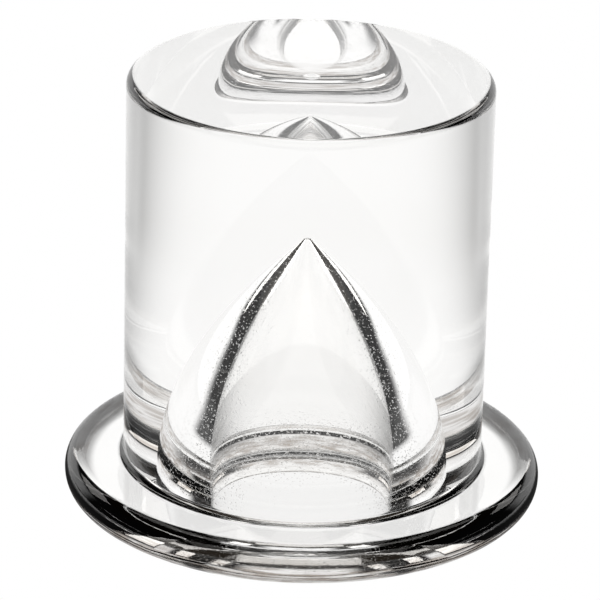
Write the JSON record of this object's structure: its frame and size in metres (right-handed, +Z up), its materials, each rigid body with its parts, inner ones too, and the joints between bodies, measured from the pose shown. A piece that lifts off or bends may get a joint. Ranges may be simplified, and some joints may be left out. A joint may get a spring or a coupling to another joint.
{
  "type": "flanged glass knob",
  "caption": "Clear pressed-glass knob: a flat-topped solid barrel on a round-edged flange, with a pointed cavity open at the underside.",
  "frame": {"origin": "centre of the underside, on the plane that the knob stands on", "axes": "+Z up the barrel, from the underside to the flat top face; the knob is round about Z, so X and Y are free"},
  "size_m": [0.0378, 0.0378, 0.0348],
  "materials": {
    "clear_glass": "fire-polished clear soda-lime glass, refractive index 1.52, with a fine granular chill texture on the cavity wall"
  },
  "bodies": {
    "root": {"glass_knob": "clear_glass"}
  },
  "joints": []
}
